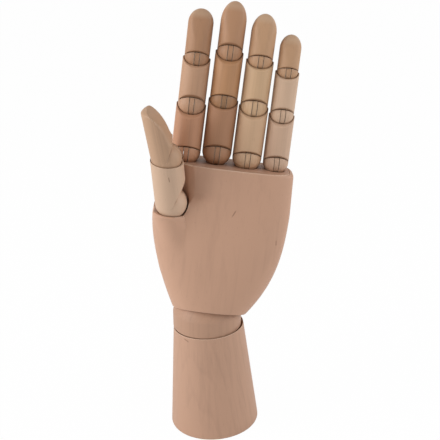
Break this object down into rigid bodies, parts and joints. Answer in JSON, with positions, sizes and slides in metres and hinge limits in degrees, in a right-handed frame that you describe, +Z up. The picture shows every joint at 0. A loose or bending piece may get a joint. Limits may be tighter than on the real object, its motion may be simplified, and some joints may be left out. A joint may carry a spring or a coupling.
{
  "type": "wooden hand mannequin",
  "caption": "Jointed wooden left hand on a turned forearm stand, with hinged fingers and thumb and a wrist that swivels and tilts.",
  "frame": {"origin": "centre of the forearm stand's underside", "axes": "+Z up along the stand, +X from the thumb side to the little finger side, -Y on the palm side"},
  "size_m": [0.1048, 0.07, 0.2999],
  "materials": {
    "wood_tan": "matt",
    "wood_pinkish": "matt",
    "wood_pale": "matt",
    "wood_core": "matt",
    "steel_wire": "satin"
  },
  "bodies": {
    "forearm": {"forearm_stand": "wood_tan", "foot_plug": "wood_core"},
    "wrist_core": {"wrist_tension_spring": "steel_wire", "spring_anchor_pin": "steel_wire"},
    "wrist": {"wrist_barrel": "wood_tan"},
    "palm": {"palm": "wood_pinkish", "palm_screw_eye": "steel_wire"},
    "index_root": {"index_knuckle_tongue": "wood_core"},
    "index_proximal": {"index_proximal": "wood_pinkish", "index_knuckle_pin": "steel_wire", "index_middle_tongue": "wood_core"},
    "index_middle": {"index_middle": "wood_tan", "index_middle_pin": "steel_wire", "index_tip_tongue": "wood_core"},
    "index_tip": {"index_tip": "wood_tan", "index_tip_pin": "steel_wire"},
    "middle_root": {"middle_knuckle_tongue": "wood_core"},
    "middle_proximal": {"middle_proximal": "wood_pinkish", "middle_knuckle_pin": "steel_wire", "middle_middle_tongue": "wood_core"},
    "middle_middle": {"middle_middle": "wood_tan", "middle_middle_pin": "steel_wire", "middle_tip_tongue": "wood_core"},
    "middle_tip": {"middle_tip": "wood_tan", "middle_tip_pin": "steel_wire"},
    "ring_root": {"ring_knuckle_tongue": "wood_core"},
    "ring_proximal": {"ring_proximal": "wood_pale", "ring_knuckle_pin": "steel_wire", "ring_middle_tongue": "wood_core"},
    "ring_middle": {"ring_middle": "wood_pale", "ring_middle_pin": "steel_wire", "ring_tip_tongue": "wood_core"},
    "ring_tip": {"ring_tip": "wood_tan", "ring_tip_pin": "steel_wire"},
    "little_root": {"little_knuckle_tongue": "wood_core"},
    "little_proximal": {"little_proximal": "wood_pale", "little_knuckle_pin": "steel_wire", "little_middle_tongue": "wood_core"},
    "little_middle": {"little_middle": "wood_pale", "little_middle_pin": "steel_wire", "little_tip_tongue": "wood_core"},
    "little_tip": {"little_tip": "wood_tan", "little_tip_pin": "steel_wire"},
    "thumb_root": {"thumb_base_tongue": "wood_core"},
    "thumb_lower": {"thumb_lower": "wood_pale", "thumb_base_pin": "steel_wire", "thumb_tip_tongue": "wood_core"},
    "thumb_tip": {"thumb_tip": "wood_tan", "thumb_tip_pin": "steel_wire"}
  },
  "joints": [
    {"name": "wrist_swivel", "type": "hinge", "parent": "forearm", "child": "wrist_core", "pos_m": [0, 0, 0.09445], "axis": [0, 0, 1], "range_deg": [-90, 90]},
    {"name": "wrist_side_tilt", "type": "hinge", "parent": "wrist_core", "child": "wrist", "pos_m": [0, 0, 0.09445], "axis": [0, 1, 0], "range_deg": [-8, 8]},
    {"name": "hand_flex", "type": "hinge", "parent": "wrist", "child": "palm", "pos_m": [-0.00063, 0, 0.08247], "axis": [0.9833, 0, -0.1822], "range_deg": [-15, 30]},
    {"name": "index_swivel", "type": "hinge", "parent": "palm", "child": "index_root", "pos_m": [-0.00688, 0, 0.20567], "axis": [0.1822, 0, 0.9833], "range_deg": [-8, 8]},
    {"name": "index_knuckle_flex", "type": "hinge", "parent": "index_root", "child": "index_proximal", "pos_m": [-0.00688, 0, 0.20567], "axis": [0.9833, 0, -0.1822], "range_deg": [-20, 32]},
    {"name": "index_middle_flex", "type": "hinge", "parent": "index_proximal", "child": "index_middle", "pos_m": [-0.00109, 0, 0.23694], "axis": [0.9833, 0, -0.1822], "range_deg": [0, 74]},
    {"name": "index_tip_flex", "type": "hinge", "parent": "index_middle", "child": "index_tip", "pos_m": [0.00442, 0, 0.26663], "axis": [0.9833, 0, -0.1822], "range_deg": [0, 60]},
    {"name": "middle_swivel", "type": "hinge", "parent": "palm", "child": "middle_root", "pos_m": [0.01352, 0, 0.20382], "axis": [0.1822, 0, 0.9833], "range_deg": [-8, 8]},
    {"name": "middle_knuckle_flex", "type": "hinge", "parent": "middle_root", "child": "middle_proximal", "pos_m": [0.01352, 0, 0.20382], "axis": [0.9833, 0, -0.1822], "range_deg": [-20, 50]},
    {"name": "middle_middle_flex", "type": "hinge", "parent": "middle_proximal", "child": "middle_middle", "pos_m": [0.01992, 0, 0.23834], "axis": [0.9833, 0, -0.1822], "range_deg": [0, 54]},
    {"name": "middle_tip_flex", "type": "hinge", "parent": "middle_middle", "child": "middle_tip", "pos_m": [0.02561, 0, 0.26901], "axis": [0.9833, 0, -0.1822], "range_deg": [0, 72]},
    {"name": "ring_swivel", "type": "hinge", "parent": "palm", "child": "ring_root", "pos_m": [0.03327, 0, 0.19843], "axis": [0.1771, 0, 0.9842], "range_deg": [-8, 8]},
    {"name": "ring_knuckle_flex", "type": "hinge", "parent": "ring_root", "child": "ring_proximal", "pos_m": [0.03327, 0, 0.19843], "axis": [0.9842, 0, -0.1771], "range_deg": [-20, 50]},
    {"name": "ring_middle_flex", "type": "hinge", "parent": "ring_proximal", "child": "ring_middle", "pos_m": [0.03942, 0, 0.23259], "axis": [0.9842, 0, -0.1771], "range_deg": [0, 68]},
    {"name": "ring_tip_flex", "type": "hinge", "parent": "ring_middle", "child": "ring_tip", "pos_m": [0.04475, 0, 0.26221], "axis": [0.9842, 0, -0.1771], "range_deg": [0, 56]},
    {"name": "little_swivel", "type": "hinge", "parent": "palm", "child": "little_root", "pos_m": [0.05228, 0, 0.194], "axis": [0.1616, 0, 0.9869], "range_deg": [-8, 8]},
    {"name": "little_knuckle_flex", "type": "hinge", "parent": "little_root", "child": "little_proximal", "pos_m": [0.05228, 0, 0.194], "axis": [0.9869, 0, -0.1616], "range_deg": [-20, 50]},
    {"name": "little_middle_flex", "type": "hinge", "parent": "little_proximal", "child": "little_middle", "pos_m": [0.05752, 0, 0.22597], "axis": [0.9869, 0, -0.1616], "range_deg": [0, 70]},
    {"name": "little_tip_flex", "type": "hinge", "parent": "little_middle", "child": "little_tip", "pos_m": [0.06207, 0, 0.2538], "axis": [0.9869, 0, -0.1616], "range_deg": [0, 54]},
    {"name": "thumb_swivel", "type": "hinge", "parent": "palm", "child": "thumb_root", "pos_m": [-0.0187, -0.015, 0.17481], "axis": [-0.0085, -0.2079, 0.9781], "range_deg": [-80, 10]},
    {"name": "thumb_base_flex", "type": "hinge", "parent": "thumb_root", "child": "thumb_lower", "pos_m": [-0.0187, -0.015, 0.17481], "axis": [0.0018, -0.9781, -0.2079], "range_deg": [-10, 20]},
    {"name": "thumb_tip_flex", "type": "hinge", "parent": "thumb_lower", "child": "thumb_tip", "pos_m": [-0.01899, -0.02199, 0.20767], "axis": [0.0018, -0.9781, -0.2079], "range_deg": [-50, 0]}
  ]
}
